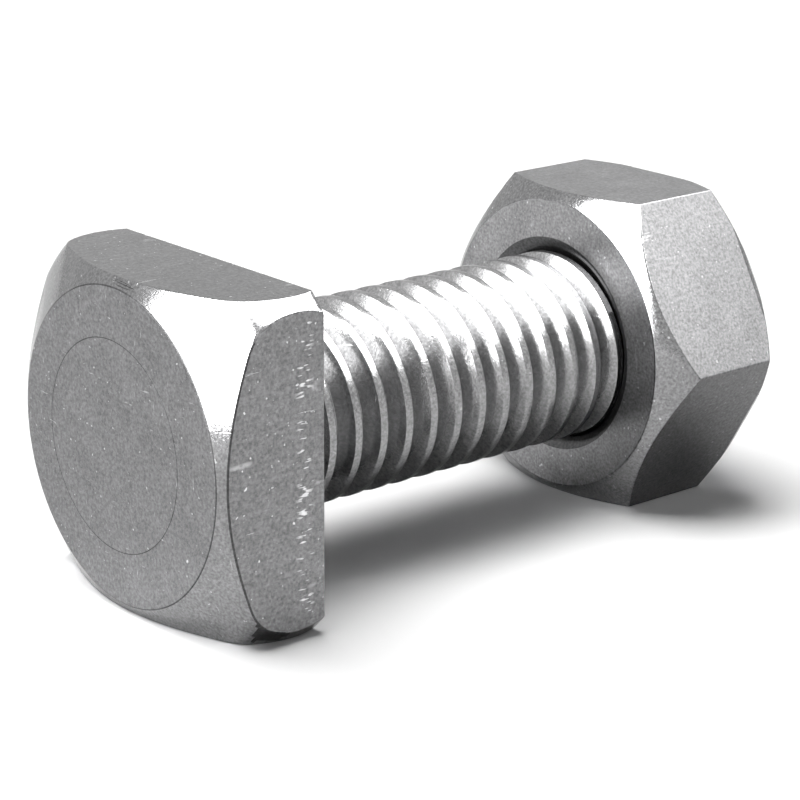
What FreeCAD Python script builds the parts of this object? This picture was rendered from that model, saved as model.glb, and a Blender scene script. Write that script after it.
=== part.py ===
"""Square-head bolt, threaded up to its head, with a hexagon nut run on near the far end.

Both pieces lie as they come to rest, on one flat of the head and one flat of the nut. The bolt's axis
is X, the head is towards -X, +Z is up, and the origin is on the axis in the plane of the head's
bearing face. All lengths are in millimetres and all angles in degrees.

Each piece is built standing on Z, as it would be turned in a lathe, and laid along X at the end. The
side that faces local +X then faces down.
"""

import FreeCAD, Part
import math
import os

Vector = FreeCAD.Vector

# Metric thread, M8 coarse, right-hand
THREAD_DIAMETER = 8.0
PITCH = 1.25
FLANK_ANGLE = 30.0
CREST_CUT = 0.06  # how far the crests stay under the nominal radius
CREST_WIDTH = 0.34  # flat top of the worn and plated crests
CREST_PLACE = 0.27  # distance of a crest from the bearing face, along the lower side

# One wrench fits both the head and the nut, and both lie on one of their flats
ACROSS_FLATS = 13.0

# Square head. A margin is how far a diameter is over or under the width across flats
HEAD_HEIGHT = 4.6
HEAD_LAND_MARGIN = -0.8  # flat disc on the end of the head
HEAD_CHAMFER_ANGLE = 32.0  # between the cone and the end face
HEAD_SHOULDER_MARGIN = 3.8  # where the cone turns over into the rounded corners
HEAD_CORNER_MARGIN = 4.74  # widest place of the rounded corners
HEAD_CORNER_HEIGHT = 1.2  # of that widest place, from the bearing face
HEAD_BEARING_MARGIN = 4.4  # across the corners where they meet the bearing face

# Shank, measured from the head's bearing face
BOLT_LENGTH = 25.0
NECK_FLARE = 0.4  # where the neck widens into the head
NECK_LENGTH = 1.0
NECK_CONE_ANGLE = 45.0  # of the first crest where it rises from the neck
RUN_OUT_LENGTH = 0.8  # over which the roots rise to the neck
END_CHAMFER_ANGLE = 45.0
END_CHAMFER_DEPTH = 0.15  # how far the end chamfer goes below the root

# Hexagon nut
NUT_HEIGHT = 6.5
NUT_PLACE = 17.25  # clear length of shank between the head and the nut
NUT_LAND_MARGIN = -0.75
NUT_CHAMFER_ANGLE = 40.0
NUT_BACK_LAND_MARGIN = -1.05
NUT_BACK_CHAMFER_ANGLE = 38.0
NUT_BACK_ROUNDING = 0.7
NUT_CLEARANCE = 0.05  # between the nut's bore and the bolt's crests
COUNTERSINK_MARGIN = 1.05  # how far the mouths are wider than the thread
COUNTERSINK_ANGLE = 120.0


def slope(angle):
    """Rise over run of a line that leans by this angle."""
    return math.tan(math.radians(angle))


# Sizes that follow from the ones above. The rolled thread starts from a blank of its pitch radius
NOMINAL_RADIUS = THREAD_DIAMETER / 2
CREST_RADIUS = NOMINAL_RADIUS - CREST_CUT
FLANK_WIDTH = (PITCH - CREST_WIDTH) / 2
ROOT_RADIUS = CREST_RADIUS - FLANK_WIDTH / slope(FLANK_ANGLE)
NECK_RADIUS = NOMINAL_RADIUS - 0.325 * PITCH
BORE_RADIUS = CREST_RADIUS + NUT_CLEARANCE


def radial(radius, height):
    """Point in the half plane that holds the axis and local +X."""
    return Vector(radius, 0, height)


def revolved(edges):
    """Solid of revolution about Z from edges that close on themselves in the radial half plane."""
    return Part.Face(Part.Wire(edges)).revolve(Vector(0, 0, 0), Vector(0, 0, 1), 360)


def turned(points):
    """Solid of revolution about Z from (radius, height) points, closed along the axis."""
    first, last = points[0], points[-1]
    outline = [radial(0, first[1])] + [radial(*point) for point in points] + [radial(0, last[1])]
    return revolved(Part.makePolygon(outline + outline[:1]).Edges)


def prism(sides, across_flats, height):
    """Upright prism on the plane Z = 0, turned so that one flat faces local +X."""
    corner_radius = across_flats / 2 / math.cos(math.pi / sides)
    angles = [math.pi / sides * (2 * side + 1) for side in range(sides)]
    corners = [Vector(corner_radius * math.cos(a), corner_radius * math.sin(a), 0) for a in angles]
    return Part.Face(Part.makePolygon(corners + corners[:1])).extrude(Vector(0, 0, height))


def threaded_rod(bottom, top):
    """Right-hand threaded rod that covers at least the heights from bottom to top.

    The corners of one tooth climb one pitch in one turn, and the ruled strips between them are
    repeated up the rod, so that each strip ends where the next one begins. A crest passes local +X
    at CREST_PLACE and at whole pitches from there.
    """
    tooth = [
        (ROOT_RADIUS, 0),
        (CREST_RADIUS, FLANK_WIDTH),
        (CREST_RADIUS, FLANK_WIDTH + CREST_WIDTH),
        (ROOT_RADIUS, PITCH),
    ]
    tooth_place = CREST_PLACE - PITCH / 2
    first = math.floor((bottom - tooth_place) / PITCH) - 1
    count = math.ceil((top - tooth_place) / PITCH) + 1 - first

    curves = []
    for radius, height in tooth:
        curve = Part.makeHelix(PITCH, PITCH, radius)
        curve.translate(Vector(0, 0, height))
        curves.append(curve.Edges[0])
    strips = [Part.makeRuledSurface(low, high) for low, high in zip(curves, curves[1:])]
    axis = Part.makeLine(Vector(0, 0, 0), Vector(0, 0, PITCH))
    floor = Part.makeRuledSurface(axis, curves[0])
    section = [radial(0, 0)] + [radial(*corner) for corner in tooth] + [radial(0, PITCH)]
    step = Part.Face(Part.makePolygon(section + section[:1]))

    faces = []
    for turn in range(count):
        for strip in strips:
            faces.append(strip.translated(Vector(0, 0, turn * PITCH)))
    for end in (0, count * PITCH):
        faces.append(floor.translated(Vector(0, 0, end)))
        faces.append(step.translated(Vector(0, 0, end)))
    shell = Part.makeShell([face for shape in faces for face in shape.Faces])
    shell.sewShape()
    rod = Part.makeSolid(shell)
    if rod.Volume < 0:
        rod.reverse()
    rod.translate(Vector(0, 0, tooth_place + first * PITCH))
    return rod


def make_head():
    """Square head: a square bar cut back to the turned shape of its end cone and rounded corners."""
    land = (ACROSS_FLATS + HEAD_LAND_MARGIN) / 2
    shoulder = (ACROSS_FLATS + HEAD_SHOULDER_MARGIN) / 2
    shoulder_height = -HEAD_HEIGHT + (shoulder - land) * slope(HEAD_CHAMFER_ANGLE)
    land_edge = radial(land, -HEAD_HEIGHT)
    cone_edge = radial(shoulder, shoulder_height)
    widest = radial((ACROSS_FLATS + HEAD_CORNER_MARGIN) / 2, -HEAD_CORNER_HEIGHT)
    bearing_edge = radial((ACROSS_FLATS + HEAD_BEARING_MARGIN) / 2, 0)
    turned_blank = revolved(
        [
            Part.makeLine(radial(0, 0), radial(0, -HEAD_HEIGHT)),
            Part.makeLine(radial(0, -HEAD_HEIGHT), land_edge),
            Part.makeLine(land_edge, cone_edge),
            Part.Arc(cone_edge, widest, bearing_edge).toShape(),
            Part.makeLine(bearing_edge, radial(0, 0)),
        ]
    )
    bar = prism(4, ACROSS_FLATS, HEAD_HEIGHT)
    bar.translate(Vector(0, 0, -HEAD_HEIGHT))
    return bar.common(turned_blank)


def make_neck():
    """Plain neck, flared where it meets the head, with the cone that the roots run out in."""
    overlap = 1.2  # the cone goes this much deeper than the roots
    return turned(
        [
            (NECK_RADIUS + NECK_FLARE, -HEAD_HEIGHT / 2),
            (NECK_RADIUS + NECK_FLARE, 0),
            (NECK_RADIUS, NECK_FLARE),
            (NECK_RADIUS, NECK_LENGTH),
            (NECK_RADIUS - (NECK_RADIUS - ROOT_RADIUS) * overlap, NECK_LENGTH + RUN_OUT_LENGTH * overlap),
        ]
    )


def make_bolt():
    """Head, neck and threaded shank as the one forged and rolled piece."""
    clear_radius = NOMINAL_RADIUS
    end_radius = ROOT_RADIUS - END_CHAMFER_DEPTH
    rise = (clear_radius - NECK_RADIUS) * slope(NECK_CONE_ANGLE)
    chamfer = (clear_radius - end_radius) * slope(END_CHAMFER_ANGLE)
    envelope = turned(
        [
            (NECK_RADIUS, NECK_LENGTH / 2),
            (NECK_RADIUS, NECK_LENGTH),
            (clear_radius, NECK_LENGTH + rise),
            (clear_radius, BOLT_LENGTH - chamfer),
            (end_radius, BOLT_LENGTH),
        ]
    )
    shank = threaded_rod(0, BOLT_LENGTH).common(envelope)
    return make_head().fuse([make_neck(), shank])


def make_nut():
    """Hexagon nut, chamfered at both ends, with a countersink at each mouth of its bore."""
    hexagon = prism(6, ACROSS_FLATS, NUT_HEIGHT)
    back_edges = [
        edge
        for edge in hexagon.Edges
        if all(math.isclose(vertex.Z, NUT_HEIGHT) for vertex in edge.Vertexes)
    ]
    hexagon = hexagon.makeFillet(NUT_BACK_ROUNDING, back_edges)
    reach = ACROSS_FLATS
    front_land = (ACROSS_FLATS + NUT_LAND_MARGIN) / 2
    back_land = (ACROSS_FLATS + NUT_BACK_LAND_MARGIN) / 2
    front_rise = (reach - front_land) * slope(NUT_CHAMFER_ANGLE)
    back_rise = (reach - back_land) * slope(NUT_BACK_CHAMFER_ANGLE)
    front = turned([(front_land, 0), (reach, front_rise), (reach, NUT_HEIGHT)])
    back = turned([(reach, 0), (reach, NUT_HEIGHT - back_rise), (back_land, NUT_HEIGHT)])

    mouth = (THREAD_DIAMETER + COUNTERSINK_MARGIN) / 2
    sink = (mouth - BORE_RADIUS) / slope(COUNTERSINK_ANGLE / 2)
    hole = turned([(mouth, 0), (BORE_RADIUS, sink), (BORE_RADIUS, NUT_HEIGHT - sink), (mouth, NUT_HEIGHT)])
    nut = hexagon.common(front).common(back).cut(hole)
    nut.translate(Vector(0, 0, NUT_PLACE))
    return nut


def laid_down(shape):
    """Turn an upright piece so that its axis points along +X."""
    lying = shape.copy()
    lying.rotate(Vector(0, 0, 0), Vector(0, 1, 0), 90)
    return lying


def main():
    """Build both pieces and write one file for each."""
    os.makedirs("parts", exist_ok=True)
    pieces = {"square_head_bolt": make_bolt(), "hex_nut": make_nut()}
    for name, shape in pieces.items():
        laid_down(shape).exportStep(f"parts/{name}.step")


main()
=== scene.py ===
"""Square-head bolt with a hexagon nut run on near its end, in bright zinc-plated steel.

Both pieces are made standing on Z, as they would be turned, and then laid along X in the frame's own place.
"""

import logging
import math
from collections.abc import Callable
from dataclasses import dataclass, field
from enum import Enum

import bpy
from mathutils import Matrix, Quaternion, Vector


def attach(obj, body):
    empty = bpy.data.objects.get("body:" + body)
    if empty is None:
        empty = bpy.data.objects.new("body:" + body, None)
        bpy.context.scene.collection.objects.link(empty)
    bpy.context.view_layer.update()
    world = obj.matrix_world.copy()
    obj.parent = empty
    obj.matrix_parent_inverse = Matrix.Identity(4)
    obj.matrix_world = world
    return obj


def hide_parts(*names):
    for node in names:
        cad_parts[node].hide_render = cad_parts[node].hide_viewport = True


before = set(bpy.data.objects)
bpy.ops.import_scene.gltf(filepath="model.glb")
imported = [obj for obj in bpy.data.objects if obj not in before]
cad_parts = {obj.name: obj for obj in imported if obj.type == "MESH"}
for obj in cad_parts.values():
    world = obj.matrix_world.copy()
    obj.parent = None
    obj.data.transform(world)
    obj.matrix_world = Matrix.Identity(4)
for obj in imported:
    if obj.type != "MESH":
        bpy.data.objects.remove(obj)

log = logging.getLogger("nut_and_bolt")

MM = 0.001
MERGE_GAP = 0.002 * MM  # points nearer than this are one
FINE_GAP = 0.0005 * MM  # the same on threads, whose points lie close
CUT_GAP = 0.0001 * MM  # how near to a cutting plane a point counts as on it


class Surface(Enum):
    """Kinds of finished surface on the two pieces, each with a material of its own, and a last kind that
    paints shade as dark lines.
    """

    END = "end_face"
    FLAT = "drawn_flat"
    CONE = "turned_cone"
    SHANK = "rolled_shank"
    NUT_FACE = "nut_face"
    NUT_FLAT = "nut_flat"
    # The last kind is painted shade, not a finish: a near-black colour put on edges, the crests' far sides
    # and the nut's bore, where shade falls.
    EDGE = "painted_shade_line"


class Reach(Enum):
    """What a light is there for: to be mirrored in the metal, or to light the floor."""

    METAL = "metal"
    FLOOR = "floor"


# How strongly the surface effects show
NOISE_RANGE = (0.3, 0.7)  # the part of a noise's values that is used
CLOUD_TINT = (0.94, 1.06)
GRAIN_TINT = (0.66, 1.34)
CLOUD_ROUGHNESS = (0.93, 1.08)
PIT_GAIN = 2.2
SCRATCH_DEPTH = 0.6
BUMP_DISTANCE = 0.012 * MM
GRAZING_TINT = 0.8  # takes back part of the metal's brightening at grazing angles


# Shader helpers


def new_group(
    name: str, inputs: dict[str, tuple[str, float | tuple]], outputs: dict[str, str]
) -> tuple[bpy.types.NodeTree, bpy.types.Node, bpy.types.Node]:
    """Make an empty shader node group.

    Args:
        name: Name of the group.
        inputs: Socket type and default for each named input.
        outputs: Socket type of each named output.

    Returns:
        The group, its input node and its output node.
    """
    group = bpy.data.node_groups.new(name, "ShaderNodeTree")
    for label, (kind, default) in inputs.items():
        socket = group.interface.new_socket(name=label, in_out="INPUT", socket_type=kind)
        socket.default_value = default
    for label, kind in outputs.items():
        group.interface.new_socket(name=label, in_out="OUTPUT", socket_type=kind)
    return group, group.nodes.new("NodeGroupInput"), group.nodes.new("NodeGroupOutput")


def add_math(tree: bpy.types.NodeTree, operation: str, *values: object) -> bpy.types.NodeSocket:
    """Add a math node fed by sockets or numbers.

    Args:
        tree: Node tree that gets the node.
        operation: Math node operation.
        values: Sockets or plain numbers, in the order of the node's inputs.

    Returns:
        The node's output socket.
    """
    node = tree.nodes.new("ShaderNodeMath")
    node.operation = operation
    for socket, value in zip(node.inputs, values):
        if isinstance(value, bpy.types.NodeSocket):
            tree.links.new(value, socket)
        else:
            socket.default_value = value
    return node.outputs[0]


def add_noise(
    tree: bpy.types.NodeTree, vector: bpy.types.NodeSocket, scale: object, detail: float
) -> bpy.types.NodeSocket:
    """Add a noise texture and return its value.

    Args:
        tree: Node tree that gets the node.
        vector: Coordinates that the noise reads.
        scale: Socket or number for the noise's scale.
        detail: Octaves of the noise.

    Returns:
        The noise value, from 0 to 1.
    """
    node = tree.nodes.new("ShaderNodeTexNoise")
    tree.links.new(vector, node.inputs["Vector"])
    if isinstance(scale, bpy.types.NodeSocket):
        tree.links.new(scale, node.inputs["Scale"])
    else:
        node.inputs["Scale"].default_value = scale
    node.inputs["Detail"].default_value = detail
    node.inputs["Roughness"].default_value = 0.6
    return node.outputs["Fac"]


def add_range(
    tree: bpy.types.NodeTree,
    value: bpy.types.NodeSocket,
    low: float,
    high: float,
    to_low: float,
    to_high: float,
) -> bpy.types.NodeSocket:
    """Map a value from one range to another, with the ends held.

    Args:
        tree: Node tree that gets the node.
        value: Value to map.
        low: Start of the range read.
        high: End of the range read.
        to_low: Result at and below the start.
        to_high: Result at and above the end.

    Returns:
        The mapped value.
    """
    node = tree.nodes.new("ShaderNodeMapRange")
    tree.links.new(value, node.inputs["Value"])
    for label, number in (("From Min", low), ("From Max", high), ("To Min", to_low), ("To Max", to_high)):
        node.inputs[label].default_value = number
    return node.outputs["Result"]


def add_stretch(
    tree: bpy.types.NodeTree,
    vector: bpy.types.NodeSocket,
    scale: tuple[float, float, float],
    turn: float = 0.0,
) -> bpy.types.NodeSocket:
    """Stretch coordinates, after a turn about X.

    Args:
        tree: Node tree that gets the node.
        vector: Coordinates to stretch.
        scale: Factor along each axis.
        turn: Turn about X in degrees.

    Returns:
        The stretched coordinates.
    """
    node = tree.nodes.new("ShaderNodeMapping")
    tree.links.new(vector, node.inputs["Vector"])
    node.inputs["Rotation"].default_value = (math.radians(turn), 0, 0)
    node.inputs["Scale"].default_value = scale
    return node.outputs["Vector"]


def make_grain_group() -> bpy.types.NodeTree:
    """Make the speckle of plated steel: a fine even grain and a cloudy unevenness.

    Returns:
        A group with outputs Grain and Clouds, both from 0 to 1.
    """
    group, entry, result = new_group(
        "plating_grain",
        {
            "Vector": ("NodeSocketVector", (0, 0, 0)),
            "Grain Scale": ("NodeSocketFloat", 9000.0),
            "Cloud Scale": ("NodeSocketFloat", 700.0),
        },
        {"Grain": "NodeSocketFloat", "Clouds": "NodeSocketFloat"},
    )
    vector = entry.outputs["Vector"]
    group.links.new(add_noise(group, vector, entry.outputs["Grain Scale"], 3.0), result.inputs["Grain"])
    group.links.new(add_noise(group, vector, entry.outputs["Cloud Scale"], 4.0), result.inputs["Clouds"])
    return group


def make_scratch_group() -> bpy.types.NodeTree:
    """Make short fine scratches in two directions, and tiny pits.

    Returns:
        A group with outputs Scratches and Pits, each a mask from 0 to 1.
    """
    group, entry, result = new_group(
        "handling_marks",
        {"Vector": ("NodeSocketVector", (0, 0, 0)), "Amount": ("NodeSocketFloat", 0.5)},
        {"Scratches": "NodeSocketFloat", "Pits": "NodeSocketFloat"},
    )
    vector = entry.outputs["Vector"]
    one = add_noise(group, add_stretch(group, vector, (420, 5200, 900), 35), 1.0, 2.0)
    two = add_noise(group, add_stretch(group, vector, (520, 900, 6400), -20), 1.0, 2.0)
    lines = add_math(
        group, "MAXIMUM", add_range(group, one, 0.70, 0.76, 0, 1), add_range(group, two, 0.71, 0.77, 0, 1)
    )
    pits = add_range(group, add_noise(group, vector, 5200.0, 1.0), 0.72, 0.78, 0, 1)

    # A row of flecks along the head's near flat, beside its bearing edge
    row_height = 0.9 * MM
    split = group.nodes.new("ShaderNodeSeparateXYZ")
    group.links.new(vector, split.inputs[0])
    aside = add_math(group, "ABSOLUTE", add_math(group, "ADD", split.outputs["X"], row_height))
    near_row = add_range(group, aside, 0.15 * MM, 0.45 * MM, 1, 0)
    near_flat = add_range(group, split.outputs["Y"], -6.3 * MM, -6.0 * MM, 1, 0)
    band = add_math(group, "MULTIPLY", near_row, near_flat)
    flecks = add_noise(group, add_stretch(group, vector, (1800, 7000, 7000)), 1.0, 1.0)
    flecks = add_math(group, "MULTIPLY", add_range(group, flecks, 0.62, 0.68, 0, 1), band)
    pits = add_math(group, "MAXIMUM", pits, flecks)
    group.links.new(add_math(group, "MULTIPLY", lines, entry.outputs["Amount"]), result.inputs["Scratches"])
    group.links.new(add_math(group, "MULTIPLY", pits, entry.outputs["Amount"]), result.inputs["Pits"])
    return group


def make_turning_group() -> bpy.types.NodeTree:
    """Make the fine rings that a turning tool or a trimming die leaves round the X axis.

    Returns:
        A group with output Rings, from 0 to 1.
    """
    group, entry, result = new_group(
        "turning_marks",
        {"Vector": ("NodeSocketVector", (0, 0, 0)), "Rings per Metre": ("NodeSocketFloat", 9000.0)},
        {"Rings": "NodeSocketFloat"},
    )
    split = group.nodes.new("ShaderNodeSeparateXYZ")
    group.links.new(entry.outputs["Vector"], split.inputs[0])
    squares = [add_math(group, "MULTIPLY", split.outputs[axis], split.outputs[axis]) for axis in ("Y", "Z")]
    radius = add_math(group, "SQRT", add_math(group, "ADD", *squares))
    rings = add_math(group, "MULTIPLY", radius, entry.outputs["Rings per Metre"])
    place = group.nodes.new("ShaderNodeCombineXYZ")
    group.links.new(rings, place.inputs["X"])
    group.links.new(add_noise(group, place.outputs[0], 1.0, 3.0), result.inputs["Rings"])
    return group


@dataclass(frozen=True)
class SteelFinish:
    """One finish of the zinc-plated steel.

    Attributes:
        surface: Kind of surface that it is for.
        colour: Base colour, linear.
        roughness: Mean roughness.
        grain: Strength of the fine bump.
        lines: Stretch of the brush lines along each axis.
        line_depth: Strength of the brush lines.
        rings: Strength of the turning rings.
        marks: Amount of scratches and pits.
    """

    surface: Surface
    colour: tuple[float, float, float]
    roughness: float
    grain: float
    lines: tuple[float, float, float]
    line_depth: float
    rings: float
    marks: float

    def build(self, groups: dict[str, bpy.types.NodeTree]) -> bpy.types.Material:
        """Build the material.

        Args:
            groups: The shared node groups by name.

        Returns:
            The finished material.
        """
        material = bpy.data.materials.new(f"zinc_steel_{self.surface.value}")
        material.use_nodes = True
        tree = material.node_tree
        shader = tree.nodes["Principled BSDF"]
        shader.inputs["Metallic"].default_value = 1.0
        shader.inputs["Specular Tint"].default_value = (*[GRAZING_TINT] * 3, 1)
        place = tree.nodes.new("ShaderNodeTexCoord").outputs["Object"]

        grain = self.group_node(tree, groups["grain"], place)
        marks = self.group_node(tree, groups["marks"], place)
        marks.inputs["Amount"].default_value = self.marks
        rings = self.group_node(tree, groups["rings"], place)
        lines = add_noise(tree, add_stretch(tree, place, self.lines), 1.0, 3.0)

        tint = add_range(tree, grain.outputs["Clouds"], *NOISE_RANGE, *CLOUD_TINT)
        line_tint = add_range(tree, lines, *NOISE_RANGE, 1 - self.line_depth, 1.0)
        tint = add_math(tree, "MULTIPLY", tint, line_tint)
        grain_tint = add_range(tree, grain.outputs["Grain"], *NOISE_RANGE, *GRAIN_TINT)
        tint = add_math(tree, "MULTIPLY", tint, grain_tint)
        tint = add_math(tree, "ADD", tint, marks.outputs["Scratches"])
        tint = add_math(tree, "ADD", tint, add_math(tree, "MULTIPLY", marks.outputs["Pits"], PIT_GAIN))
        colour = tree.nodes.new("ShaderNodeMix")
        colour.data_type = "RGBA"
        colour.blend_type = "MULTIPLY"
        colour.inputs["Factor"].default_value = 1.0
        colour.inputs["A"].default_value = (*self.colour, 1)
        tree.links.new(tint, colour.inputs["B"])
        tree.links.new(colour.outputs["Result"], shader.inputs["Base Color"])

        spread = [self.roughness * factor for factor in CLOUD_ROUGHNESS]
        rough = add_range(tree, grain.outputs["Clouds"], *NOISE_RANGE, *spread)
        tree.links.new(rough, shader.inputs["Roughness"])

        height = add_math(tree, "MULTIPLY", grain.outputs["Grain"], self.grain)
        height = add_math(tree, "ADD", height, add_math(tree, "MULTIPLY", lines, self.line_depth))
        ring_height = add_math(tree, "MULTIPLY", rings.outputs["Rings"], self.rings)
        height = add_math(tree, "ADD", height, ring_height)
        scratch_depth = add_math(tree, "MULTIPLY", marks.outputs["Scratches"], SCRATCH_DEPTH)
        height = add_math(tree, "SUBTRACT", height, scratch_depth)
        bump = tree.nodes.new("ShaderNodeBump")
        bump.inputs["Strength"].default_value = 1.0
        bump.inputs["Distance"].default_value = BUMP_DISTANCE
        tree.links.new(height, bump.inputs["Height"])
        tree.links.new(bump.outputs["Normal"], shader.inputs["Normal"])
        return material

    @staticmethod
    def group_node(
        tree: bpy.types.NodeTree, group: bpy.types.NodeTree, place: bpy.types.NodeSocket
    ) -> bpy.types.Node:
        """Add a shared group to a tree and feed its coordinates.

        Args:
            tree: Node tree that gets the group.
            group: The shared group.
            place: Coordinates for its Vector input.

        Returns:
            The group's node.
        """
        node = tree.nodes.new("ShaderNodeGroup")
        node.node_tree = group
        tree.links.new(place, node.inputs["Vector"])
        return node


# In order: surface, colour, roughness, grain, lines, line depth, rings, marks
FINISHES = (
    SteelFinish(Surface.END, (0.190, 0.190, 0.193), 0.28, 0.25, (500, 6000, 900), 0.06, 0.3, 1.0),
    SteelFinish(Surface.FLAT, (0.225, 0.225, 0.228), 0.18, 0.25, (450, 9000, 9000), 0.15, 0.0, 1.0),
    SteelFinish(Surface.CONE, (0.24, 0.24, 0.243), 0.14, 0.35, (900, 900, 900), 0.05, 0.1, 0.6),
    SteelFinish(Surface.SHANK, (0.29, 0.29, 0.292), 0.22, 0.35, (1500, 1500, 1500), 0.10, 0.0, 0.4),
    SteelFinish(Surface.NUT_FACE, (0.205, 0.205, 0.208), 0.34, 0.25, (900, 900, 900), 0.05, 0.3, 0.6),
    SteelFinish(Surface.NUT_FLAT, (0.168, 0.168, 0.170), 0.36, 0.25, (450, 8000, 8000), 0.08, 0.0, 0.4),
    # Painted shade: this near-black colour stands in for the shade along edges and in hollows, not for the
    # steel's own colour.
    SteelFinish(Surface.EDGE, (0.07, 0.07, 0.071), 0.30, 0.25, (900, 900, 900), 0.10, 0.0, 0.0),
)


# Modelling helpers


def deselect() -> None:
    """Leave edit mode and deselect every object."""
    if bpy.context.mode != "OBJECT":
        bpy.ops.object.mode_set(mode="OBJECT")
    bpy.ops.object.select_all(action="DESELECT")


def activate(piece: bpy.types.Object) -> None:
    """Make one object the only one selected and the active one.

    Args:
        piece: Object to activate.
    """
    deselect()
    piece.select_set(True)
    bpy.context.view_layer.objects.active = piece


def apply_modifier(piece: bpy.types.Object, kind: str, **values: object) -> None:
    """Add a modifier, set it up and apply it.

    Args:
        piece: Object that gets the modifier.
        kind: Modifier type.
        values: Properties of the modifier.
    """
    activate(piece)
    modifier = piece.modifiers.new(kind.lower(), kind)
    for name, value in values.items():
        setattr(modifier, name, value)
    bpy.ops.object.modifier_apply(modifier=modifier.name)


def combine(piece: bpy.types.Object, tool: bpy.types.Object, operation: str) -> None:
    """Combine a piece with a tool body by a boolean, and remove the tool.

    Args:
        piece: Object that is changed.
        tool: Object that it is combined with.
        operation: INTERSECT, UNION or DIFFERENCE.
    """
    apply_modifier(piece, "BOOLEAN", object=tool, operation=operation, solver="EXACT")
    bpy.data.objects.remove(tool, do_unlink=True)


def clean(piece: bpy.types.Object, gap: float = MERGE_GAP) -> None:
    """Merge doubles and turn all faces outwards.

    Args:
        piece: Object to clean.
        gap: Distance under which points are one.
    """
    activate(piece)
    bpy.ops.object.mode_set(mode="EDIT")
    bpy.ops.mesh.select_all(action="SELECT")
    bpy.ops.mesh.remove_doubles(threshold=gap)
    bpy.ops.mesh.normals_make_consistent(inside=False)
    bpy.ops.object.mode_set(mode="OBJECT")


def turned(name: str, profile: list[tuple[float, float]], segments: int = 256) -> bpy.types.Object:
    """Turn a closed body about Z by extruding a disc ring after ring.

    Args:
        name: Name of the new object.
        profile: Radius and height of each ring in millimetres, from one end to the other.
        segments: Sides of each ring.

    Returns:
        The new object.
    """
    deselect()
    radius, height = profile[0]
    bpy.ops.mesh.primitive_circle_add(
        vertices=segments, radius=radius * MM, fill_type="NGON", location=(0, 0, height * MM)
    )
    piece = bpy.context.object
    piece.name = name
    bpy.ops.object.transform_apply(location=True)
    bpy.ops.object.mode_set(mode="EDIT")
    bpy.ops.mesh.select_all(action="SELECT")
    for next_radius, next_height in profile[1:]:
        bpy.ops.mesh.extrude_region_move(
            TRANSFORM_OT_translate={"value": (0, 0, (next_height - height) * MM)}
        )
        factor = next_radius / radius
        bpy.ops.transform.resize(value=(factor, factor, 1), center_override=(0, 0, next_height * MM))
        radius, height = next_radius, next_height
    bpy.ops.object.mode_set(mode="OBJECT")
    clean(piece)
    return piece


def prism(name: str, sides: int, flats: float, low: float, high: float) -> bpy.types.Object:
    """Add an upright prism with one flat facing local +X.

    Args:
        name: Name of the new object.
        sides: Number of its sides.
        flats: Width across flats in millimetres.
        low: Height of its lower end in millimetres.
        high: Height of its upper end in millimetres.

    Returns:
        The new object.
    """
    deselect()
    radius = flats / 2 / math.cos(math.pi / sides)
    bpy.ops.mesh.primitive_cylinder_add(
        vertices=sides,
        radius=radius * MM,
        depth=(high - low) * MM,
        location=(0, 0, (low + high) / 2 * MM),
        rotation=(0, 0, math.pi / 2 - math.pi / sides),
    )
    piece = bpy.context.object
    piece.name = name
    bpy.ops.object.transform_apply(location=True, rotation=True)
    return piece


def arc(centre: tuple[float, float], radius: float, start: float, end: float, steps: int) -> list:
    """Points on an arc in the radial plane.

    Args:
        centre: Radius and height of the arc's centre.
        radius: The arc's own radius.
        start: Angle of the first point in degrees, from outwards towards up.
        end: Angle of the last point in degrees.
        steps: Number of steps between them.

    Returns:
        Radius and height of each point.
    """
    points = []
    for step in range(steps + 1):
        angle = math.radians(start + (end - start) * step / steps)
        points.append((centre[0] + radius * math.cos(angle), centre[1] + radius * math.sin(angle)))
    return points


def lay_down(piece: bpy.types.Object) -> None:
    """Turn an upright piece so that its axis points along +X, with its place kept in its mesh.

    Args:
        piece: Object to lay down.
    """
    activate(piece)
    piece.rotation_euler = (0, math.pi / 2, 0)
    bpy.ops.object.transform_apply(rotation=True)


def dress(
    piece: bpy.types.Object,
    materials: dict[Surface, bpy.types.Material],
    choose: Callable[[Vector, Vector], Surface],
) -> None:
    """Give each face the material of the surface that it belongs to.

    Args:
        piece: Object to dress, already laid along X.
        materials: The finished materials.
        choose: Names the surface from a face's centre in millimetres and its normal.
    """
    order = list(Surface)
    for surface in order:
        piece.data.materials.append(materials[surface])
    for face in piece.data.polygons:
        face.material_index = order.index(choose(face.center / MM, face.normal))


def split_rings(piece: bpy.types.Object) -> None:
    """Split an upright piece's faces along planes through its axis, so that none closes round a hole.

    Args:
        piece: Object to split.
    """
    first, spacing = 13, 30  # degrees, clear of every corner of both pieces
    activate(piece)
    bpy.ops.object.mode_set(mode="EDIT")
    for step in range(180 // spacing):
        angle = math.radians(first + spacing * step)
        bpy.ops.mesh.select_all(action="SELECT")
        bpy.ops.mesh.bisect(
            plane_co=(0, 0, 0), plane_no=(math.cos(angle), math.sin(angle), 0), threshold=CUT_GAP
        )
    bpy.ops.object.mode_set(mode="OBJECT")


def soften(piece: bpy.types.Object, width: float, angle: float = 28.0) -> None:
    """Round a piece's sharp edges.

    Args:
        piece: Object to change.
        width: Width of the rounding in millimetres.
        angle: Smallest turn, in degrees, that counts as a sharp edge.
    """
    apply_modifier(
        piece,
        "BEVEL",
        width=width * MM,
        segments=3,
        limit_method="ANGLE",
        angle_limit=math.radians(angle),
        use_clamp_overlap=False,
    )


# The pieces


OVERRUN = 2.0  # millimetres that a threaded rod runs past what it is trimmed to


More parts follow.
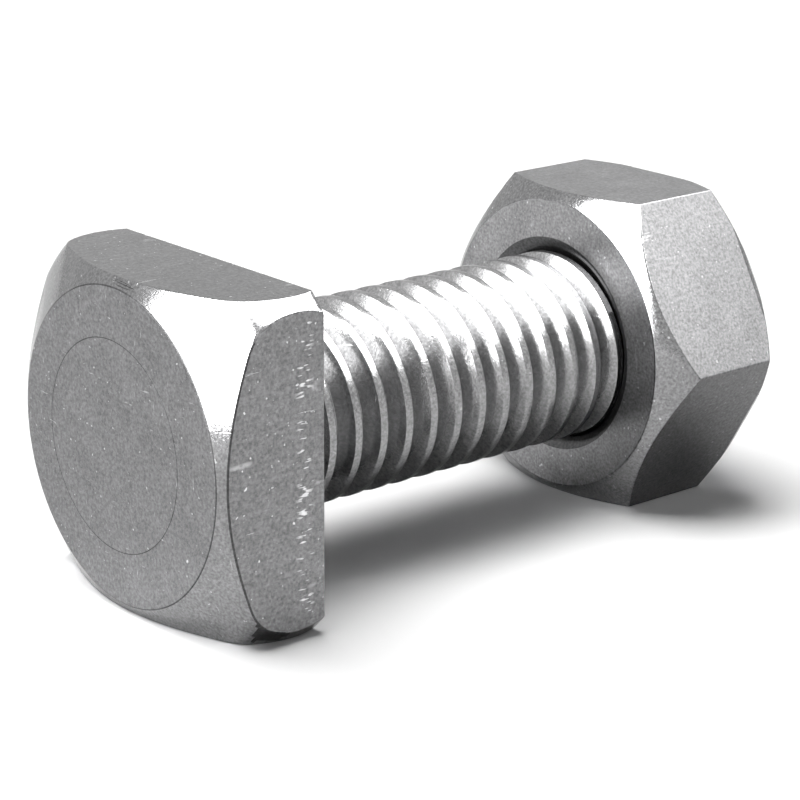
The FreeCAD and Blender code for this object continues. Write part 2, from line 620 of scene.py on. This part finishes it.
@dataclass
class Thread:
    """Right-hand metric thread whose crests pass the lower side at crest_place and whole pitches from it.

    Attributes:
        pitch: Rise of one turn.
        crest_place: Height of a crest at local +X.
        flank_angle: Lean of each flank in degrees.
        root_ease: Length over which a flank eases into the root.
        steps: Points round one turn.
    """

    pitch: float = 1.25
    crest_place: float = 0.27
    flank_angle: float = 30.0
    root_ease: float = 0.1
    steps: int = 96

    def tooth(self, root: float, crest: float, crest_width: float, rounding: float) -> list:
        """Outline of one tooth, from the middle of one root to the middle of the next.

        Args:
            root: Radius of the roots.
            crest: Radius of the crests.
            crest_width: Width of the crest between its edges.
            rounding: Radius of the crest's rounded edges.

        Returns:
            Radius and height of each point, with the crest at height 0.
        """
        lean = math.tan(math.radians(self.flank_angle))
        flank = (crest - root) * lean
        half_crest = crest_width / 2
        back = rounding * lean
        centre = (crest - rounding, half_crest - back)
        side = arc(centre, rounding, 0, 90 - self.flank_angle, 4)
        foot = half_crest + flank
        dip = min(self.root_ease, self.pitch / 2 - foot)
        side += [(root + dip * 0.35, foot - dip * 0.2), (root, foot + dip)]
        mirrored = [(radius, -height) for radius, height in reversed(side)]
        return [(root, -self.pitch / 2)] + mirrored + side + [(root, self.pitch / 2)]

    def rod(self, name: str, outline: list, low: float, high: float) -> bpy.types.Object:
        """Screw a tooth's outline up into a closed threaded rod with flat ends.

        Args:
            name: Name of the new object.
            outline: The tooth's outline.
            low: Height of the lower end in millimetres.
            high: Height of the upper end in millimetres.

        Returns:
            The new object.
        """
        first = math.floor((low - self.crest_place) / self.pitch) - 1
        turns = math.ceil((high - self.crest_place) / self.pitch) + 1 - first
        start = self.crest_place + first * self.pitch
        piece = self.draw_line(name, [(radius, height + start) for radius, height in outline])
        apply_modifier(
            piece,
            "SCREW",
            axis="Z",
            angle=2 * math.pi,
            screw_offset=self.pitch * MM,
            steps=self.steps,
            render_steps=self.steps,
            iterations=turns,
            use_merge_vertices=True,
            merge_threshold=FINE_GAP,
        )
        clean(piece, FINE_GAP)
        bpy.ops.object.mode_set(mode="EDIT")
        for height, clear_above in ((low, False), (high, True)):
            bpy.ops.mesh.select_all(action="SELECT")
            bpy.ops.mesh.bisect(
                plane_co=(0, 0, height * MM),
                plane_no=(0, 0, 1),
                use_fill=True,
                clear_inner=not clear_above,
                clear_outer=clear_above,
                threshold=CUT_GAP,
            )
        bpy.ops.object.mode_set(mode="OBJECT")
        clean(piece, FINE_GAP)
        return piece

    @staticmethod
    def draw_line(name: str, points: list) -> bpy.types.Object:
        """Draw an open line in the radial plane by extruding a point.

        Args:
            name: Name of the new object.
            points: Radius and height of each point in millimetres.

        Returns:
            The new object.
        """
        deselect()
        bpy.ops.mesh.primitive_plane_add(size=MM, location=(0, 0, 0))
        piece = bpy.context.object
        piece.name = name
        bpy.ops.object.mode_set(mode="EDIT")
        bpy.ops.mesh.select_all(action="SELECT")
        bpy.ops.mesh.merge(type="CENTER")
        bpy.ops.transform.translate(value=(points[0][0] * MM, 0, points[0][1] * MM))
        for (radius, height), (next_radius, next_height) in zip(points, points[1:]):
            step = ((next_radius - radius) * MM, 0, (next_height - height) * MM)
            bpy.ops.mesh.extrude_region_move(TRANSFORM_OT_translate={"value": step})
        bpy.ops.object.mode_set(mode="OBJECT")
        return piece


@dataclass
class SquareHeadBolt:
    """Forged square head and rolled shank in one piece. Sizes are in millimetres.

    An ease is the distance over which a corner of the profile is rounded.
    """

    flats: float = 13.0
    head_height: float = 4.6
    land_radius: float = 6.1
    land_ease: float = 0.05
    land_drop: float = 0.006
    chamfer_angle: float = 32.0
    shoulder_radius: float = 8.4
    shoulder_ease: float = 0.36
    corner_radius: float = 8.87
    corner_height: float = 1.2
    bearing_radius: float = 8.7
    ring_radius: float = 4.1
    ring_offset: float = 0.3
    ring_round: float = 0.25
    ring_depth: float = 0.008
    nick_place: tuple[float, float, float] = (-6.34, -0.45, -4.5)
    nick_size: tuple[float, float, float] = (0.13, 0.95, 0.10)
    nick_turn: float = 3.0
    edge_rounding: float = 0.05
    neck_radius: float = 3.594
    neck_fillet: float = 0.4
    neck_length: float = 1.0
    run_out: float = 0.9
    crest_radius: float = 3.94
    root_radius: float = 3.25
    crest_width: float = 0.34
    crest_rounding: float = 0.05
    length: float = 25.0
    end_depth: float = 0.9
    thread: Thread = field(default_factory=Thread)

    def head_blank(self) -> bpy.types.Object:
        """Make the turned shape that the square bar is cut back to.

        Returns:
            The turned blank.
        """
        slope = math.tan(math.radians(self.chamfer_angle))
        shoulder_height = -self.head_height + (self.shoulder_radius - self.land_radius) * slope
        barrel = self.through(
            (self.shoulder_radius, shoulder_height),
            (self.corner_radius, -self.corner_height),
            (self.bearing_radius, 0.0),
            14,
        )
        land_edge = [
            (self.land_radius - self.land_ease, -self.head_height),
            (self.land_radius, -self.head_height + self.land_drop),
            (self.land_radius + self.land_ease, -self.head_height + self.land_ease * slope),
        ]
        before = (self.shoulder_radius - self.shoulder_ease, shoulder_height - self.shoulder_ease * slope)
        shoulder = [self.blend(before, barrel[0], barrel[2], step / 6) for step in range(7)]
        return turned("head_blank", [*land_edge, *shoulder, *barrel[3:]])

    @staticmethod
    def blend(start: tuple, middle: tuple, end: tuple, share: float) -> tuple[float, float]:
        """Point on the curve that rounds a corner.

        Args:
            start: Where the curve leaves the first side.
            middle: The corner.
            end: Where the curve meets the second side.
            share: Place along the curve, from 0 to 1.

        Returns:
            Radius and height of the point.
        """
        weights = ((1 - share) ** 2, 2 * share * (1 - share), share**2)
        return tuple(sum(w * p[i] for w, p in zip(weights, (start, middle, end))) for i in (0, 1))

    def die_ring(self) -> bpy.types.Object:
        """Make the tool for the faint ring, a little off centre, that the forging die left on the end face.

        Returns:
            The tool.
        """
        deselect()
        height = self.ring_depth - self.ring_round - self.head_height
        bpy.ops.mesh.primitive_torus_add(
            major_radius=self.ring_radius * MM,
            minor_radius=self.ring_round * MM,
            major_segments=192,
            minor_segments=8,
            location=(0, self.ring_offset * MM, height * MM),
        )
        return bpy.context.object

    def nick(self) -> bpy.types.Object:
        """Make the tool for the short nick in the chamfer's edge at the upper flat.

        Returns:
            The tool.
        """
        deselect()
        bpy.ops.mesh.primitive_uv_sphere_add(
            segments=24,
            ring_count=16,
            radius=MM,
            location=Vector(self.nick_place) * MM,
            rotation=(0, 0, math.radians(self.nick_turn)),
        )
        tool = bpy.context.object
        tool.scale = self.nick_size
        bpy.ops.object.transform_apply(location=True, rotation=True, scale=True)
        return tool

    @staticmethod
    def through(start: tuple, middle: tuple, end: tuple, steps: int) -> list:
        """Points on the arc through three points.

        Args:
            start: First point.
            middle: A point between.
            end: Last point.
            steps: Number of steps.

        Returns:
            Radius and height of each point.
        """
        ax, ay = start
        bx, by = middle
        cx, cy = end
        twice = 2 * (ax * (by - cy) + bx * (cy - ay) + cx * (ay - by))
        a, b, c = ax * ax + ay * ay, bx * bx + by * by, cx * cx + cy * cy
        centre = (
            (a * (by - cy) + b * (cy - ay) + c * (ay - by)) / twice,
            (a * (cx - bx) + b * (ax - cx) + c * (bx - ax)) / twice,
        )
        first = math.degrees(math.atan2(ay - centre[1], ax - centre[0]))
        last = math.degrees(math.atan2(cy - centre[1], cx - centre[0]))
        return arc(centre, math.dist(centre, start), first, last, steps)

    def shank(self) -> bpy.types.Object:
        """Make the threaded shank with its run-out at the neck and its chamfered end.

        Returns:
            The shank, with the neck.
        """
        outline = self.thread.tooth(
            self.root_radius, self.crest_radius, self.crest_width, self.crest_rounding
        )
        rod = self.thread.rod("square_head_bolt_shank", outline, -OVERRUN, self.length + OVERRUN)
        outside = self.crest_radius + 0.1
        overlap = 0.05
        envelope = turned(
            "shank_envelope",
            [
                (self.neck_radius - overlap, self.neck_length * 0.5),
                (self.neck_radius - overlap, self.neck_length - overlap),
                (outside, self.neck_length + outside - self.neck_radius),
                (outside, self.length - self.end_depth),
                (outside - self.end_depth, self.length),
            ],
        )
        combine(rod, envelope, "INTERSECT")
        fillet = []
        for step in range(7):
            angle = math.radians(15 * step)
            fillet.append(
                (
                    self.neck_radius + self.neck_fillet * (1 - math.sin(angle)),
                    self.neck_fillet * (1 - math.cos(angle)),
                )
            )
        neck = turned(
            "neck",
            [
                (self.neck_radius + self.neck_fillet, -1.0),
                *fillet,
                (self.neck_radius, self.neck_length),
                (self.root_radius - overlap, self.neck_length + self.run_out),
            ],
        )
        combine(rod, neck, "UNION")
        return rod

    def choose(self, centre: Vector, normal: Vector) -> Surface:
        """Name the surface that a face of the bolt belongs to.

        Args:
            centre: The face's centre in millimetres.
            normal: The face's normal.

        Returns:
            The kind of surface.
        """
        radius = math.hypot(centre.y, centre.z)
        if centre.x > 0.01 and radius < self.crest_radius + 0.5:
            # Painted shade: faces near the crest radius that face away from the head, the crests' far edges
            # and the outer rim of the end chamfer, get the dark colour as the shade line where each crest
            # hides the groove behind it.
            far_crest_shade = radius > self.crest_radius - 0.035 and normal.x > 0.1
            return Surface.EDGE if far_crest_shade else Surface.SHANK
        if abs(normal.x) > 0.99:
            return Surface.END
        if max(abs(normal.y), abs(normal.z)) > 0.995:
            return Surface.FLAT
        # Painted shade: the land's rounded edge, and with it the sloped sides of the die ring, and the
        # rounded edge between the chamfer and the near flat get the dark colour as dark shade lines.
        land_edge = normal.x < -0.87
        near_flat_shade_line = -0.82 < normal.x < -0.08 and normal.y < -0.6 and -6.3 < centre.z < 5.2
        return Surface.EDGE if land_edge or near_flat_shade_line else Surface.CONE

    def build(self, materials: dict[Surface, bpy.types.Material]) -> bpy.types.Object:
        """Build and dress the bolt.

        Args:
            materials: The finished materials.

        Returns:
            The bolt, in place.
        """
        bolt = prism("square_head_bolt_metal", 4, self.flats, -self.head_height, 0.0)
        combine(bolt, self.head_blank(), "INTERSECT")
        clean(bolt)
        soften(bolt, self.edge_rounding)
        split_rings(bolt)
        combine(bolt, self.die_ring(), "DIFFERENCE")
        combine(bolt, self.nick(), "DIFFERENCE")
        combine(bolt, self.shank(), "UNION")
        clean(bolt, FINE_GAP)
        lay_down(bolt)
        dress(bolt, materials, self.choose)
        finish_shading(bolt)
        return bolt


@dataclass
class HexNut:
    """Hexagon nut chamfered at both ends. Sizes are in millimetres.

    The back ease is how far inside and outside the land's radius its edge is rounded.
    """

    flats: float = 13.0
    height: float = 6.5
    place: float = 17.25
    land_radius: float = 6.125
    chamfer_angle: float = 40.0
    back_land_radius: float = 5.975
    back_chamfer_angle: float = 38.0
    back_rounding: float = 0.7
    back_ease: tuple[float, float] = (0.225, 0.075)
    edge_rounding: float = 0.05
    mouth_radius: float = 4.525
    mouth_angle: float = 60.0
    bore_radius: float = 3.35
    groove_radius: float = 4.1
    groove_width: float = 0.3
    groove_rounding: float = 0.04
    thread: Thread = field(default_factory=Thread)

    def body(self) -> bpy.types.Object:
        """Make the hexagon cut back to its two cones, with its back edge rounded.

        Returns:
            The nut's outer body.
        """
        low, high = self.place, self.place + self.height
        nut = prism("hex_nut_metal", 6, self.flats, low, high)
        self.round_back(nut, high)
        reach = self.flats * 0.7
        rise = (reach - self.land_radius) * math.tan(math.radians(self.chamfer_angle))
        front = turned("front_cone", [(self.land_radius, low), (reach, low + rise), (reach, high + 1)])
        combine(nut, front, "INTERSECT")
        slope = math.tan(math.radians(self.back_chamfer_angle))
        ease_in, ease_out = self.back_ease
        profile = [
            (reach, low - 1),
            (reach, high - (reach - self.back_land_radius) * slope),
            (self.back_land_radius + ease_out, high - ease_out * slope),
            (self.back_land_radius - ease_in, high),
        ]
        combine(nut, turned("back_cone", profile), "INTERSECT")
        clean(nut)
        soften(nut, self.edge_rounding)
        return nut

    def round_back(self, nut: bpy.types.Object, high: float) -> None:
        """Round the hexagon's back edges.

        Args:
            nut: The hexagon.
            high: Height of its back face in millimetres.
        """
        activate(nut)
        bpy.ops.object.mode_set(mode="EDIT")
        bpy.ops.mesh.select_mode(type="FACE")
        bpy.ops.mesh.select_all(action="DESELECT")
        bpy.ops.object.mode_set(mode="OBJECT")
        for face in nut.data.polygons:
            face.select = face.normal.z > 0.9 and face.center.z > (high - 0.01) * MM
        bpy.ops.object.mode_set(mode="EDIT")
        bpy.ops.mesh.bevel(offset=self.back_rounding * MM, segments=8, affect="EDGES")
        bpy.ops.mesh.select_mode(type="VERT")
        bpy.ops.object.mode_set(mode="OBJECT")

    def bore(self, nut: bpy.types.Object) -> None:
        """Cut the countersinks and the inner thread.

        Args:
            nut: The nut's outer body.
        """
        low, high = self.place, self.place + self.height
        flare = math.tan(math.radians(self.mouth_angle))
        deep = (self.mouth_radius - self.bore_radius) / flare
        lead = 0.2  # how far the tool stands out of each mouth
        wide = self.mouth_radius + lead * flare
        sink = turned(
            "countersinks",
            [
                (wide, low - lead),
                (self.bore_radius, low + deep),
                (self.bore_radius, high - deep),
                (wide, high + lead),
            ],
        )
        combine(nut, sink, "DIFFERENCE")
        root = self.bore_radius - 0.02
        outline = self.thread.tooth(root, self.groove_radius, self.groove_width, self.groove_rounding)
        tap = self.thread.rod("tap", outline, low - OVERRUN, high + OVERRUN)
        outside = self.groove_radius + 0.1
        combine(tap, turned("tap_envelope", [(outside, low - 0.5), (outside, high + 0.5)]), "INTERSECT")
        combine(nut, tap, "DIFFERENCE")

    def choose(self, centre: Vector, normal: Vector) -> Surface:
        """Name the surface that a face of the nut belongs to.

        Args:
            centre: The face's centre in millimetres.
            normal: The face's normal.

        Returns:
            The kind of surface.
        """
        radius = math.hypot(centre.y, centre.z)
        if abs(normal.x) > 0.99:
            return Surface.NUT_FACE
        # Painted shade: in the bore, the countersinks and the flanks of the inner thread get the dark
        # colour as shade; the thread's crests and roots get the shank's finish.
        if radius < self.mouth_radius + 0.02:
            return Surface.EDGE if abs(normal.x) > 0.8 else Surface.SHANK
        if abs(normal.x) < 0.02:
            return Surface.NUT_FLAT
        return Surface.CONE

    def build(self, materials: dict[Surface, bpy.types.Material]) -> bpy.types.Object:
        """Build and dress the nut.

        Args:
            materials: The finished materials.

        Returns:
            The nut, in place.
        """
        nut = self.body()
        self.bore(nut)
        split_rings(nut)
        clean(nut, FINE_GAP)
        lay_down(nut)
        dress(nut, materials, self.choose)
        finish_shading(nut)
        return nut


def finish_shading(piece: bpy.types.Object) -> None:
    """Shade a piece smooth across shallow angles, with the flats kept flat.

    Args:
        piece: Object to finish.
    """
    activate(piece)
    bpy.ops.object.shade_smooth_by_angle(angle=math.radians(35))
    apply_modifier(piece, "WEIGHTED_NORMAL", keep_sharp=True, weight=80)


# Studio


@dataclass(frozen=True)
class Softbox:
    """One area light.

    Attributes:
        name: Name of the light.
        towards: Direction from the object to the light.
        size: Width and height in metres.
        radiance: Brightness of its face, where 1 is white.
        reach: What it lights.
    """

    name: str
    towards: tuple[float, float, float]
    size: tuple[float, float]
    radiance: float
    reach: Reach


SOFTBOXES = (
    Softbox("overhead_softbox", (0.27, -0.12, 0.93), (1.7, 2.6), 10.5, Reach.METAL),
    Softbox("left_softbox", (-0.843, 0.03, 0.537), (1.6, 1.7), 20.0, Reach.METAL),
    Softbox("floor_key", (-0.17, 0.18, 0.95), (1.1, 1.1), 8.4, Reach.FLOOR),
)


@dataclass
class Studio:
    """Camera, floor and soft lights. Lengths are in millimetres but for the lights' distance and sizes."""

    picture: int = 800
    focal_pixels: float = 2653.9
    axis_pixel: tuple[float, float] = (406.1, 429.0)
    eye: tuple[float, float, float] = (-56.295, -77.598, 31.424)
    heading: float = 49.779
    look_down: float = 18.276
    roll: float = 0.429
    floor_height: float = -6.5
    sensor: float = 36.0
    floor_albedo: float = 0.92
    fill: float = 0.06
    aim: tuple[float, float, float] = (9.0, 0.0, 0.0)
    light_distance: float = 1.5

    def camera(self) -> None:
        """Place the camera at the photograph's viewing angle."""
        heading, down = math.radians(self.heading), math.radians(self.look_down)
        ahead = Vector(
            (math.cos(down) * math.cos(heading), math.cos(down) * math.sin(heading), -math.sin(down))
        )
        data = bpy.data.cameras.new("camera")
        data.sensor_width = self.sensor
        data.lens = self.sensor * self.focal_pixels / self.picture
        data.shift_x = (self.picture / 2 - self.axis_pixel[0]) / self.picture
        data.shift_y = (self.axis_pixel[1] - self.picture / 2) / self.picture
        data.clip_start = MM
        data.clip_end = 20.0
        camera = bpy.data.objects.new("camera", data)
        turn = Quaternion(ahead, math.radians(self.roll)).inverted() @ ahead.to_track_quat("-Z", "Y")
        camera.matrix_world = Matrix.Translation(Vector(self.eye) * MM) @ turn.to_matrix().to_4x4()
        bpy.context.scene.collection.objects.link(camera)
        bpy.context.scene.camera = camera

    def floor(self) -> None:
        """Add the pale floor."""
        deselect()
        bpy.ops.mesh.primitive_plane_add(size=6.0, location=(0, 0, self.floor_height * MM))
        floor = bpy.context.object
        floor.name = "studio_floor"
        material = bpy.data.materials.new("pale_floor")
        material.use_nodes = True
        shader = material.node_tree.nodes["Principled BSDF"]
        shader.inputs["Base Color"].default_value = (*[self.floor_albedo] * 3, 1)
        shader.inputs["Roughness"].default_value = 0.9
        shader.inputs["Specular IOR Level"].default_value = 0.1
        floor.data.materials.append(material)

    def world(self) -> None:
        """Light the surroundings evenly, and show them white."""
        world = bpy.data.worlds.new("studio")
        world.use_nodes = True
        tree = world.node_tree
        back = tree.nodes["Background"]
        path = tree.nodes.new("ShaderNodeLightPath")
        seen = add_math(tree, "MAXIMUM", path.outputs["Is Camera Ray"], path.outputs["Is Glossy Ray"])
        seen = add_math(tree, "MAXIMUM", seen, path.outputs["Is Transmission Ray"])
        tree.links.new(add_range(tree, seen, 0, 1, self.fill, 1.0), back.inputs["Strength"])
        back.inputs["Color"].default_value = (1, 1, 1, 1)
        bpy.context.scene.world = world

    def add_softbox(self, box: Softbox) -> None:
        """Add an area light that faces the object from far off.

        Args:
            box: The light to add.
        """
        data = bpy.data.lights.new(box.name, "AREA")
        data.shape = "RECTANGLE"
        data.size, data.size_y = box.size
        data.energy = box.radiance * math.pi * box.size[0] * box.size[1]
        light = bpy.data.objects.new(box.name, data)
        aim = Vector(self.aim) * MM
        away = Vector(box.towards).normalized()
        light.location = aim + away * self.light_distance
        light.rotation_mode = "QUATERNION"
        light.rotation_quaternion = (-away).to_track_quat("-Z", "Y")
        light.visible_camera = False
        light.visible_glossy = box.reach is Reach.METAL
        light.visible_diffuse = box.reach is Reach.FLOOR
        bpy.context.scene.collection.objects.link(light)

    def build(self) -> None:
        """Build the whole studio."""
        bpy.context.scene.view_settings.view_transform = "Standard"
        self.camera()
        self.floor()
        self.world()
        for box in SOFTBOXES:
            self.add_softbox(box)


def main() -> None:
    """Build, dress and place both pieces, then the studio."""
    logging.basicConfig(level=logging.INFO, format="%(message)s")
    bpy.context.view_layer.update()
    groups = {"grain": make_grain_group(), "marks": make_scratch_group(), "rings": make_turning_group()}
    materials = {finish.surface: finish.build(groups) for finish in FINISHES}
    for part, body, node in ((SquareHeadBolt(), "bolt", "square_head_bolt"), (HexNut(), "nut", "hex_nut")):
        piece = part.build(materials)
        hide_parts(node)
        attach(piece, body)
        log.info("%s: %d points, %d faces", piece.name, len(piece.data.vertices), len(piece.data.polygons))
    Studio().build()


if __name__ == "__main__":
    main()
